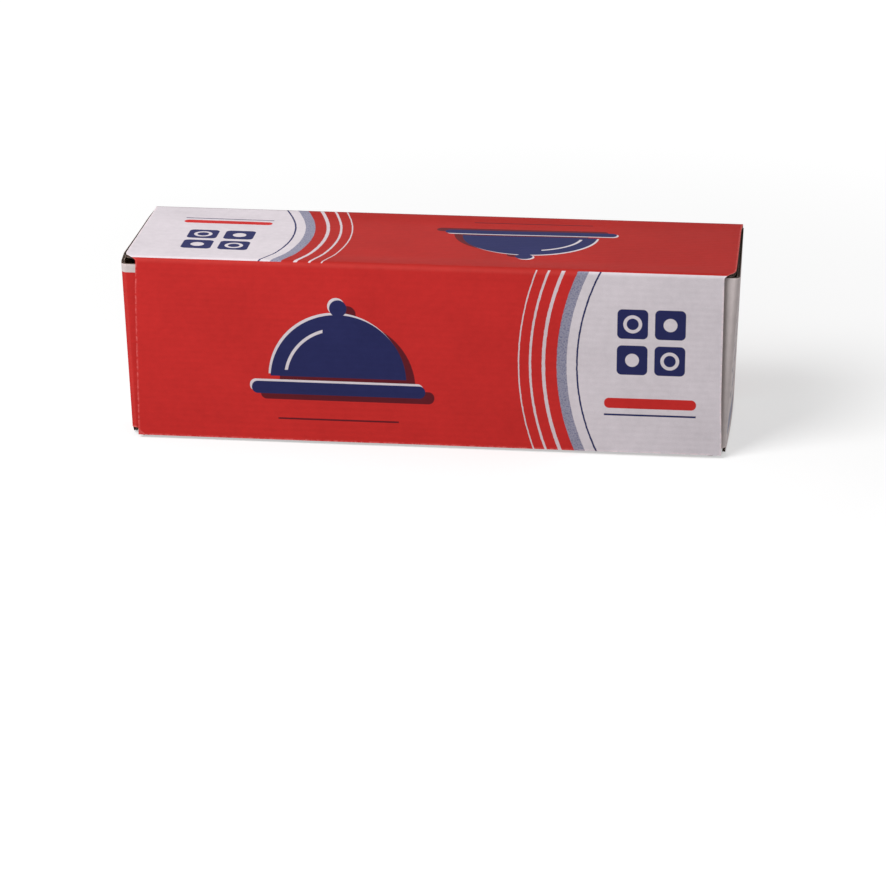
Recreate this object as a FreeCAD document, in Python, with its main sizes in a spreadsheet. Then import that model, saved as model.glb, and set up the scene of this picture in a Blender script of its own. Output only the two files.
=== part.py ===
import FreeCAD, Part
import math
import os

import Sketcher

# Box of aluminium foil, closed, standing on its bottom panel
# X runs along the box, the front is at -Y, +Z is up
# The origin is at the middle of the footprint, on the floor

doc = FreeCAD.newDocument("foil_box")
sheet = doc.addObject("Spreadsheet::Sheet", "Sizes")

sizes = [
    # Wound foil on its cardboard core
    ("foil_width", 304.8),
    ("foil_diameter", 90.5),
    ("foil_edge", 0.6),
    ("core_diameter", 41.1),
    ("core_wall", 1.5),
    ("core_fit", 0.05),
    ("core_overhang", 0.3),
    # Room for the roll inside the carton
    ("end_room", 2.1),
    ("side_room", 0.95),
    ("roll_rest", 0.2),
    ("top_room", 6.1),
    # Corrugated board
    ("board", 1.6),
    ("layer_gap", 0.2),
    ("crease_round", 2.4),
    ("corner_round", 3.2),
    # Lid with its front flap
    ("flap_inset", 5.4),
    ("flap_lift", 1.5),
    ("flap_gap", 0.8),
    ("hinge_round", 1.4),
    ("left_corner_cut", 5.0),
    ("left_corner_blend", 10.0),
    ("right_corner_cut", 15.5),
    ("right_corner_blend", 30.0),
    # Tray, pinched in along the foot of its ends, most of all at the front
    ("foot_pinch", 3.0),
    ("rear_pinch", 1.0),
    ("lid_gap", 0.3),
    ("hinge_gap", 0.3),
    ("front_drop", 3.7),
    ("crest_from_front", 17.0),
    ("rear_drop", 2.0),
    ("shoulder", 20.0),
    ("dispensing_slope", 16.0),
    ("dispensing_cut", 15.0),
    ("dispensing_round", 8.0),
    # Folded ends of the tray
    ("end_lift", 0.4),
    ("end_short", 0.5),
    ("dust_flap", 58.0),
    ("dust_drop", 3.0),
    ("dust_bevel", 12.0),
    ("bottom_flap", 56.0),
    ("bottom_flap_gap", 1.5),
    ("bottom_bevel", 12.0),
    ("fold_hole", 1.6),
    # Serrated steel strip inside the flap
    ("strip_inset", 2.6),
    ("strip_height", 12.0),
    ("strip_steel", 0.3),
    ("tooth_pitch", 3.2),
    ("tooth_depth", 2.2),
    ("tooth_reach", 0.8),
]
for row, (alias, number) in enumerate(sizes, start=1):
    sheet.set(f"A{row}", alias)
    sheet.set(f"B{row}", str(number))
    sheet.setAlias(f"B{row}", alias)
doc.recompute()

# The roll sets the carton's size, through the boards and the room around it
zero = "0"
core_end = "(Sizes.foil_width / 2 + Sizes.core_overhang)"
bottom_inner = f"({core_end} + Sizes.end_room)"
bottom_face = f"({bottom_inner} + Sizes.board)"
dust_inner = f"({bottom_face} + Sizes.layer_gap)"
dust_face = f"({dust_inner} + Sizes.board)"
end_inner = f"({dust_face} + Sizes.layer_gap)"
end_face = f"({end_inner} + Sizes.board)"
flap_end = f"({end_face} - Sizes.flap_inset)"
strip_end = f"({flap_end} - Sizes.strip_inset)"
inside_depth = "(Sizes.foil_diameter + 2 * Sizes.side_room)"
depth = f"({inside_depth} + 3 * Sizes.board + Sizes.flap_gap)"
flap_face = f"(-{depth} / 2)"
flap_inner = f"({flap_face} + Sizes.board)"
front_face = f"({flap_inner} + Sizes.flap_gap)"
front_inner = f"({front_face} + Sizes.board)"
back_face = f"({depth} / 2)"
back_inner = f"({back_face} - Sizes.board)"
cavity_middle = f"(({front_inner} + {back_inner}) / 2)"
roll_height = "(Sizes.board + Sizes.roll_rest + Sizes.foil_diameter / 2)"
lid_under = f"({roll_height} + Sizes.foil_diameter / 2 + Sizes.top_room)"
lid_top = f"({lid_under} + Sizes.board)"
tray_top = f"({lid_under} - Sizes.lid_gap)"
back_top = f"({lid_under} - Sizes.hinge_gap)"
crease_inner = "(Sizes.crease_round - Sizes.board)"
corner_inner = "(Sizes.corner_round - Sizes.board)"
crease_top = "(2 * Sizes.crease_round)"
clear = "Sizes.board"
across = f"(2 * {end_face})"


def plane(body, role):
    return next(o for o in body.Origin.OriginFeatures if o.Role == role)


def new_body(name):
    body = doc.addObject("PartDesign::Body", name)
    body.Label = name
    return body


def new_sketch(body, name, role, offset=None):
    sketch = body.newObject("Sketcher::SketchObject", name)
    sketch.AttachmentSupport = (plane(body, role), [""])
    sketch.MapMode = "FlatFace"
    if offset:
        sketch.setExpression("AttachmentOffset.Base.z", offset)
    return sketch


def hold(sketch, kind, expression, *where):
    index = sketch.addConstraint(
        Sketcher.Constraint(kind, *where, sketch.evalExpression(expression))
    )
    sketch.setExpression(f"Constraints[{index}]", expression)


def outline(sketch, corners):
    """Closed outline through (across, up[, round]) corners, each held by the sheet."""
    number = sketch.evalExpression
    points = [FreeCAD.Vector(number(c[0]), number(c[1]), 0) for c in corners]
    count = len(points)
    starts = list(points)
    ends = list(points)
    arcs = {}
    for i, corner in enumerate(corners):
        if len(corner) < 3:
            continue
        radius = number(corner[2])
        back = (points[i - 1] - points[i]).normalize()
        ahead = (points[(i + 1) % count] - points[i]).normalize()
        half = back.getAngle(ahead) / 2
        reach = radius / math.tan(half)
        ends[i] = points[i] + back * reach
        starts[i] = points[i] + ahead * reach
        middle = points[i] + (back + ahead).normalize() * (radius / math.sin(half))
        arcs[i] = (radius, middle, back.cross(ahead).z < 0)
    lines = [
        sketch.addGeometry(Part.LineSegment(starts[i], ends[(i + 1) % count]), False)
        for i in range(count)
    ]
    for i, corner in enumerate(corners):
        before, after = lines[i - 1], lines[i]
        if i not in arcs:
            sketch.addConstraint(Sketcher.Constraint("Coincident", before, 2, after, 1))
            hold(sketch, "DistanceX", corner[0], -1, 1, after, 1)
            hold(sketch, "DistanceY", corner[1], -1, 1, after, 1)
            continue
        radius, middle, left = arcs[i]
        first, last = (ends[i], starts[i]) if left else (starts[i], ends[i])
        begin = math.atan2(first.y - middle.y, first.x - middle.x)
        finish = math.atan2(last.y - middle.y, last.x - middle.x)
        circle = Part.Circle(middle, FreeCAD.Vector(0, 0, 1), radius)
        arc = sketch.addGeometry(Part.ArcOfCircle(circle, begin, finish), False)
        side_in, side_out = (1, 2) if left else (2, 1)
        sketch.addConstraint(Sketcher.Constraint("Tangent", before, 2, arc, side_in))
        sketch.addConstraint(Sketcher.Constraint("Tangent", arc, side_out, after, 1))
        hold(sketch, "Radius", corner[2], arc)
        peak = sketch.addGeometry(Part.Point(points[i]), True)
        sketch.addConstraint(Sketcher.Constraint("PointOnObject", peak, 1, before))
        sketch.addConstraint(Sketcher.Constraint("PointOnObject", peak, 1, after))
        hold(sketch, "DistanceX", corner[0], -1, 1, peak, 1)
        hold(sketch, "DistanceY", corner[1], -1, 1, peak, 1)


def add(body, sketch, length, name):
    pad = body.newObject("PartDesign::Pad", name)
    pad.Profile = sketch
    pad.SideType = "Symmetric"
    pad.setExpression("Length", length)
    doc.recompute()


def add_between(body, first, last, name):
    loft = body.newObject("PartDesign::AdditiveLoft", name)
    loft.Profile = first
    loft.Sections = [last]
    loft.Ruled = True
    doc.recompute()


def cut(body, sketch, length, name):
    volume = body.Shape.Volume
    pocket = body.newObject("PartDesign::Pocket", name)
    pocket.Profile = sketch
    pocket.SideType = "Symmetric"
    pocket.setExpression("Length", length)
    doc.recompute()
    if not body.Shape.Volume < volume:
        raise RuntimeError(f"{name} cuts nothing")
    return pocket


def turn(body, sketch, name):
    revolution = body.newObject("PartDesign::Revolution", name)
    revolution.Profile = sketch
    revolution.ReferenceAxis = (sketch, ["H_Axis"])
    revolution.Angle = 360
    doc.recompute()


def negative(expression):
    return f"(-{expression})"


# Tray
# Its ends lean in towards the bottom, more at the front corners than at the back
tray = new_body("carton_tray")
end_rear = f"({back_face} - Sizes.end_short)"


def pinch(y, z):
    along = f"(({end_rear} - {y}) / ({end_rear} - {front_face}))"
    up = f"(({tray_top} - {z}) / ({tray_top} - Sizes.end_lift))"
    share = f"(Sizes.rear_pinch + (Sizes.foot_pinch - Sizes.rear_pinch) * {along})"
    return f"({share} * {up})"


# Front panel and the outer end panels that fold back from it
sections = []
for name, level in (("foot", "Sizes.end_lift"), ("top", tray_top)):
    plan = new_sketch(tray, f"front_and_ends_{name}", "XY_Plane", level)
    outer = f"({end_face} - {pinch(front_face, level)})"
    inner = f"({outer} - Sizes.board)"
    rear = f"({end_face} - {pinch(end_rear, level)})"
    outline(
        plan,
        [
            (negative(rear), end_rear),
            (negative(outer), front_face, "Sizes.corner_round"),
            (outer, front_face, "Sizes.corner_round"),
            (rear, end_rear),
            (f"{rear} - Sizes.board", end_rear),
            (inner, front_inner, corner_inner),
            (negative(inner), front_inner, corner_inner),
            (f"Sizes.board - {rear}", end_rear),
        ],
    )
    sections.append(plan)
add_between(tray, *sections, "front_and_ends")

# Top edge of the ends: low at the front corner, a crest under the lid, low at the back
edge = new_sketch(tray, "end_top_edge", "YZ_Plane")
outline(
    edge,
    [
        (f"{front_face} - {clear}", f"{lid_under} - Sizes.front_drop"),
        (front_face, f"{lid_under} - Sizes.front_drop"),
        (f"{flap_face} + Sizes.crest_from_front", tray_top),
        (back_face, f"{lid_under} - Sizes.rear_drop"),
        (back_face, lid_top),
        (f"{front_face} - {clear}", lid_top),
    ],
)
cut(tray, edge, f"2 * {across}", "end_top_cut")

# Lower middle of the front panel, where the foil is drawn out
front_middle = f"-({front_face} + {front_inner}) / 2"
mouth = new_sketch(tray, "dispensing_edge", "XZ_Plane", front_middle)
mouth_top = f"({end_face} - Sizes.shoulder)"
mouth_foot = f"({mouth_top} - Sizes.dispensing_slope)"
mouth_low = f"({lid_under} - Sizes.dispensing_cut)"
outline(
    mouth,
    [
        (negative(mouth_foot), mouth_low, "Sizes.dispensing_round"),
        (mouth_foot, mouth_low, "Sizes.dispensing_round"),
        (mouth_top, lid_top),
        (negative(mouth_top), lid_top),
    ],
)
cut(tray, mouth, "3 * Sizes.board", "dispensing_cut_out")

# Back panel and the dust flaps that fold forward from it, inside the end panels
dust_front = f"({back_face} - Sizes.dust_flap)"
sections = []
for name, level in (("foot", "Sizes.end_lift"), ("top", back_top)):
    plan = new_sketch(tray, f"back_and_dust_{name}", "XY_Plane", level)
    outer = f"({dust_face} - {pinch(dust_front, level)})"
    inner = f"({outer} - Sizes.board)"
    rear = f"({dust_face} - {pinch(back_face, level)})"
    rear_inner = f"({dust_inner} - {pinch(back_inner, level)})"
    outline(
        plan,
        [
            (outer, dust_front),
            (rear, back_face, "Sizes.corner_round"),
            (negative(rear), back_face, "Sizes.corner_round"),
            (negative(outer), dust_front),
            (negative(inner), dust_front),
            (negative(rear_inner), back_inner, corner_inner),
            (rear_inner, back_inner, corner_inner),
            (inner, dust_front),
        ],
    )
    sections.append(plan)
add_between(tray, *sections, "back_and_dust_flaps")

# Dust flaps end below the lid, with a bevelled leading corner
edge = new_sketch(tray, "dust_top_edge", "YZ_Plane")
dust_top = f"({lid_under} - Sizes.dust_drop)"
outline(
    edge,
    [
        (f"{dust_front} - {clear}", f"{dust_top} - Sizes.dust_bevel"),
        (dust_front, f"{dust_top} - Sizes.dust_bevel"),
        (f"{dust_front} + Sizes.dust_bevel", dust_top),
        (f"{back_face} - Sizes.corner_round", dust_top),
        (f"{back_face} - Sizes.corner_round", lid_top),
        (f"{dust_front} - {clear}", lid_top),
    ],
)
cut(tray, edge, f"2 * {dust_face} + Sizes.layer_gap", "dust_top_cut")

# Long creases under the front and back panels are rounded over the fold
for name, face, side in (
    ("front_crease", front_face, "1"),
    ("back_crease", back_face, "-1"),
):
    corner = new_sketch(tray, name + "_corner", "YZ_Plane")
    outline(
        corner,
        [
            (f"{face} - {side} * {clear}", f"-{clear}"),
            (f"{face} + {side} * {crease_top}", f"-{clear}"),
            (f"{face} + {side} * {crease_top}", zero),
            (face, zero, "Sizes.crease_round"),
            (face, crease_top),
            (f"{face} - {side} * {clear}", crease_top),
        ][:: 1 if side == "1" else -1],
    )
    cut(tray, corner, f"2 * {bottom_face}", name)

# Bottom panel, joined to the front and back panels through those creases
profile = new_sketch(tray, "bottom_profile", "YZ_Plane")
outline(
    profile,
    [
        (front_face, crease_top),
        (front_face, zero, "Sizes.crease_round"),
        (back_face, zero, "Sizes.crease_round"),
        (back_face, crease_top),
        (back_inner, crease_top),
        (back_inner, "Sizes.board", crease_inner),
        (front_inner, "Sizes.board", crease_inner),
        (front_inner, crease_top),
    ],
)
bottom_reach = f"({bottom_face} - Sizes.crease_round - Sizes.foot_pinch)"
add(tray, profile, f"2 * {bottom_reach}", "bottom_panel")

# Bottom end flaps, folded up inside the dust flaps
sections = []
for name, level in (
    ("front", f"({front_inner} + Sizes.bottom_flap_gap)"),
    ("back", f"({back_inner} - Sizes.bottom_flap_gap)"),
):
    profile = new_sketch(tray, f"bottom_flaps_{name}", "XZ_Plane", negative(level))
    foot = f"({bottom_face} - {pinch(level, 'Sizes.end_lift')})"
    head = f"({bottom_face} - {pinch(level, 'Sizes.bottom_flap')})"
    outline(
        profile,
        [
            (negative(head), "Sizes.bottom_flap"),
            (negative(foot), zero, "Sizes.crease_round"),
            (foot, zero, "Sizes.crease_round"),
            (head, "Sizes.bottom_flap"),
            (f"{head} - Sizes.board", "Sizes.bottom_flap"),
            (f"{foot} - Sizes.board", "Sizes.board", crease_inner),
            (f"Sizes.board - {foot}", "Sizes.board", crease_inner),
            (f"Sizes.board - {head}", "Sizes.bottom_flap"),
        ],
    )
    sections.append(profile)
add_between(tray, *sections, "bottom_end_flaps")

# Their free corners are bevelled
bevels = new_sketch(tray, "bottom_flap_bevels", "YZ_Plane")
bevel_foot = "(Sizes.bottom_flap - Sizes.bottom_bevel)"
bevel_head = f"(Sizes.bottom_flap + {clear})"
for side, near in (("1", front_inner), ("-1", back_inner)):
    edge_y = f"{near} + {side} * Sizes.bottom_flap_gap"
    corners = [
        (f"{near} + {side} * Sizes.bottom_flap_gap / 2", bevel_foot),
        (edge_y, bevel_foot),
        (f"{edge_y} + {side} * Sizes.bottom_bevel", bevel_head),
        (f"{near} + {side} * Sizes.bottom_flap_gap / 2", bevel_head),
    ]
    outline(bevels, corners if side == "1" else corners[::-1])
cut(tray, bevels, f"2 * {bottom_face} + Sizes.layer_gap", "bottom_flap_bevel_cut")

# Small open holes where three folds meet, at the lower front corners
holes = new_sketch(tray, "fold_holes_outline", "XZ_Plane", front_middle)
for side in ("1", "-1"):
    hole_x = f"{side} * ({end_face} - Sizes.foot_pinch - Sizes.corner_round / 2)"
    centre = FreeCAD.Vector(
        holes.evalExpression(hole_x), holes.evalExpression("Sizes.end_lift"), 0
    )
    radius = holes.evalExpression("Sizes.fold_hole")
    circle = Part.Circle(centre, FreeCAD.Vector(0, 0, 1), radius)
    ring = holes.addGeometry(circle, False)
    hold(holes, "DistanceX", hole_x, -1, 1, ring, 3)
    hold(holes, "DistanceY", "Sizes.end_lift", -1, 1, ring, 3)
    hold(holes, "Radius", "Sizes.fold_hole", ring)
cut(tray, holes, "5 * Sizes.board", "fold_holes")

# Lid
# Top panel and full-height front flap, one board folded over a rounded crease
lid = new_body("carton_lid")
profile = new_sketch(lid, "lid_profile", "YZ_Plane")
outline(
    profile,
    [
        (back_face, lid_under),
        (back_face, lid_top, "Sizes.hinge_round"),
        (flap_face, lid_top, "Sizes.crease_round"),
        (flap_face, "Sizes.flap_lift"),
        (flap_inner, "Sizes.flap_lift"),
        (flap_inner, lid_under, crease_inner),
    ],
)
add(lid, profile, across, "lid_board")

# The flap is cut shorter than the top panel, and the cut runs out over each front corner
for name, side, reach, blend in (
    ("left_corner", "-1", "Sizes.left_corner_cut", "Sizes.left_corner_blend"),
    ("right_corner", "1", "Sizes.right_corner_cut", "Sizes.right_corner_blend"),
):
    corner = new_sketch(lid, name + "_outline", "XY_Plane")
    trimmed = f"{side} * {flap_end}"
    panel_end = f"{side} * {end_face}"
    outside = f"{side} * ({end_face} + {clear})"
    corners = [
        (trimmed, f"{flap_face} - {clear}"),
        (outside, f"{flap_face} - {clear}"),
        (outside, f"{flap_face} + {reach} + {blend}"),
        (panel_end, f"{flap_face} + {reach} + {blend}"),
        (panel_end, f"{flap_face} + {reach}", blend),
        (trimmed, flap_face),
    ]
    outline(corner, corners if side == "1" else corners[::-1])
    cut(lid, corner, f"3 * {lid_top}", name)

# The rest of the flap's ends, between the fold and the inner face of the flap
for name, side in (("left_flap_end", "-1"), ("right_flap_end", "1")):
    corner = new_sketch(lid, name + "_outline", "XZ_Plane", negative(flap_face))
    trimmed = f"{side} * {flap_end}"
    outside = f"{side} * ({end_face} + {clear})"
    corners = [
        (trimmed, zero),
        (outside, zero),
        (outside, lid_under),
        (trimmed, lid_under),
    ]
    outline(corner, corners if side == "1" else corners[::-1])
    cut(lid, corner, f"2 * (Sizes.board + {crease_inner})", name)

# Serrated strip on the inner face of the flap, its points just below the edge
strip = new_body("cutter_strip")
strip.setExpression("Placement.Base.y", f"{flap_inner} + Sizes.strip_steel / 2")
strip.setExpression("Placement.Base.z", "Sizes.flap_lift - Sizes.tooth_reach")
plate = new_sketch(strip, "strip_outline", "XZ_Plane")
outline(
    plate,
    [
        (negative(strip_end), zero),
        (strip_end, zero),
        (strip_end, "Sizes.strip_height"),
        (negative(strip_end), "Sizes.strip_height"),
    ],
)
add(strip, plate, "Sizes.strip_steel", "strip_plate")

# One notch between two points, repeated along the strip
notch_count = f"floor(2 * {strip_end} / Sizes.tooth_pitch)"
notch_start = f"(-{notch_count} * Sizes.tooth_pitch / 2)"
notch = new_sketch(strip, "notch_outline", "XZ_Plane")
outline(
    notch,
    [
        (notch_start, zero),
        (f"{notch_start} + Sizes.tooth_pitch", zero),
        (f"{notch_start} + Sizes.tooth_pitch / 2", "Sizes.tooth_depth"),
    ],
)
first = cut(strip, notch, "3 * Sizes.strip_steel", "first_notch")
notches = strip.newObject("PartDesign::LinearPattern", "notches")
notches.Originals = [first]
notches.Direction = (notch, ["H_Axis"])
notches.Mode = "Spacing"
notches.setExpression("Offset", "Sizes.tooth_pitch")
notches.setExpression("Occurrences", notch_count)
strip.Tip = notches
doc.recompute()

# Wound foil, a ring turned about the axis of the roll
foil = new_body("foil_roll")
foil.setExpression("Placement.Base.y", cavity_middle)
foil.setExpression("Placement.Base.z", roll_height)
ring = new_sketch(foil, "foil_section", "XZ_Plane")
foil_end = "(Sizes.foil_width / 2)"
foil_outer = "(Sizes.foil_diameter / 2)"
foil_bore = "(Sizes.core_diameter / 2 + Sizes.core_fit)"
outline(
    ring,
    [
        (negative(foil_end), foil_bore),
        (foil_end, foil_bore),
        (foil_end, f"{foil_outer} - Sizes.foil_edge"),
        (f"{foil_end} - Sizes.foil_edge", foil_outer),
        (f"Sizes.foil_edge - {foil_end}", foil_outer),
        (negative(foil_end), f"{foil_outer} - Sizes.foil_edge"),
    ],
)
turn(foil, ring, "foil_winding")

# Cardboard core, a little longer than the foil is wide
core = new_body("core_tube")
core.setExpression("Placement.Base.y", cavity_middle)
core.setExpression("Placement.Base.z", roll_height)
ring = new_sketch(core, "core_section", "XZ_Plane")
outline(
    ring,
    [
        (negative(core_end), "Sizes.core_diameter / 2 - Sizes.core_wall"),
        (core_end, "Sizes.core_diameter / 2 - Sizes.core_wall"),
        (core_end, "Sizes.core_diameter / 2"),
        (negative(core_end), "Sizes.core_diameter / 2"),
    ],
)
turn(core, ring, "core_wall_turned")

# Every feature is sound before anything is written
for item in doc.Objects:
    if "Invalid" in item.State or "Error" in item.State:
        raise RuntimeError(f"{item.Label} failed")

os.makedirs("parts", exist_ok=True)
for piece in (tray, lid, strip, foil, core):
    shape = piece.Shape
    if shape.isNull() or not shape.isValid() or len(shape.Solids) != 1:
        raise RuntimeError(f"{piece.Label} is not one sound solid")
    shape.exportStep(f"parts/{piece.Label}.step")
    box = shape.BoundBox
    print(piece.Label, [round(v, 2) for v in (box.XMin, box.XMax, box.YMin, box.YMax, box.ZMin, box.ZMax)])
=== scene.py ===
import math

import bmesh
import bpy
import numpy as np
from mathutils import Matrix, Vector


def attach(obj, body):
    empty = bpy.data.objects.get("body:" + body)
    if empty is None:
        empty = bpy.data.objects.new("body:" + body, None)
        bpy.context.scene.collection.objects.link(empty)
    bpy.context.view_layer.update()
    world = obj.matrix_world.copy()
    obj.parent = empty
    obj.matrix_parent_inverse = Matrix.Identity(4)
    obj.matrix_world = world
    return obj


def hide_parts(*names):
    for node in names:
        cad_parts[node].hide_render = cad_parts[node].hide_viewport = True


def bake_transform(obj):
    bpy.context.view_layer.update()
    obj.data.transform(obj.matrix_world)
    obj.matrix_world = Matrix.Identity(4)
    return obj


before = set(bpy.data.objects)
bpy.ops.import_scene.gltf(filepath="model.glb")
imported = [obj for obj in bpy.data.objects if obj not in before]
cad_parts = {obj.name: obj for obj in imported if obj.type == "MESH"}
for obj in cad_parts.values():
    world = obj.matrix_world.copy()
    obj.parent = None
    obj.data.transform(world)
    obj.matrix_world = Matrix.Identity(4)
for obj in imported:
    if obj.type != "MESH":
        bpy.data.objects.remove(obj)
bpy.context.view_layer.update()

scene = bpy.context.scene

# Lengths are in millimetres, as on the carton's blank. Meshes are made in metres.
MM = 0.001
PER_MM = (1000, 1000, 1000)

# The board: its thickness and the pitch of its flutes, the radii of its folds along x,
# of its corners and of the lid's rear crease, and the gap for glue
BOARD = 1.6
FLUTE = 3.2
CREASE = 2.4
CORNER = 3.2
REAR = 1.6
GLUE_GAP = 0.12

# Outer faces of the panels along y and z, and how far their lower edges stand up
FRONT = -46.6
BACK = 49.0
END_REAR = 48.5
FLAP = -49.0
FLAP_FOOT = 1.5
LID_UNDER = 98.4
LID_TOP = 100.0
RAW_FOOT = 0.4
RELIEF = 4.6
PANEL = 98.0

# Half lengths along x: the print's corners, the flat front, the flap and the bottom
HALF_BOX = 160.0
HALF_FRONT = 156.0
FLAP_END = 154.6
SEAM = 148.0

# Steps of a panel's height and of a turned corner
PANEL_ROWS = 34
CORNER_STEPS = 8

# Left and right side of the box: where an end is at its top rear and at its foot, how
# far the foot is pinched in at the front, the top of the front corner, the reach of the
# flap, and the reach of the lid with its cut corner
END_TOP = {-1: 162.0, 1: 160.3}
END_FOOT = {-1: 159.4, 1: 157.5}
END_PINCH = {-1: 0.5, 1: 1.8}
CORNER_TOP = {-1: 94.9, 1: 97.7}
FLAP_HALF = {-1: 155.0, 1: 153.4}
LID_HALF = {-1: 160.4, 1: 159.3}
LID_CORNER = {-1: 1.7, 1: 2.5}

# Added to a print map's v, so that the bottom's print is not that of the other panels
BOTTOM_PRINT = 400.0

ROLL_Y = 1.2
ROLL_Z = 47.05
FOIL_RADIUS = 45.2
FOIL_BORE = 20.6
FOIL_END = 152.4

# Places of a piece's materials in its list
OUTSIDE, INSIDE, EDGE, FLUTES = range(4)


def ramp(low, high, value):
    """Smooth step from 0 at low to 1 at high."""
    t = np.clip((value - low) / (high - low), 0.0, 1.0)
    return t * t * (3 - 2 * t)


def quarter(steps):
    """Angles of a quarter turn, with both its ends."""
    return np.linspace(0, math.pi / 2, steps + 1)


def along(points):
    """Distance along a line of points."""
    gaps = np.linalg.norm(np.diff(points, axis=0), axis=1)
    return np.concatenate([[0.0], np.cumsum(gaps)])


def left_of(line):
    """Unit vectors to the left of a flat line, seen along it."""
    step = np.gradient(line, axis=0)
    step /= np.linalg.norm(step, axis=1)[:, None]
    return np.stack([-step[:, 1], step[:, 0]], 1)


def swept(line, x):
    """Grid of points: a profile in y and z, drawn along x."""
    return np.array([[(a, b, c) for a in x] for b, c in line])


def from_raw_edge(points, rims):
    """Distance of each point of a grid from the nearest of its sides that is a raw edge."""
    far_off = 99.0
    down = np.apply_along_axis(np.cumsum, 0, np.linalg.norm(np.diff(points, axis=0), axis=2))
    down = np.vstack([np.zeros((1, points.shape[1])), down])
    over = np.apply_along_axis(np.cumsum, 1, np.linalg.norm(np.diff(points, axis=1), axis=2))
    over = np.hstack([np.zeros((points.shape[0], 1)), over])
    sides = (down, down[-1:] - down, over, over[:, -1:] - over)
    raw = [side for side, kind in zip(sides, rims) if kind in ("cut", "open")]
    return np.minimum.reduce(raw) if raw else np.full(points.shape[:2], far_off)


def cockle(x, v, seed):
    """The slight unevenness of a board panel, about a quarter of a millimetre."""
    return 0.10 * (
        np.sin(x * 0.031 + seed) * np.cos(v * 0.055 + 1.7 * seed)
        + 0.6 * np.sin(x * 0.083 + 2.1 * seed) * np.sin(v * 0.071 + seed)
    )


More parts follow.
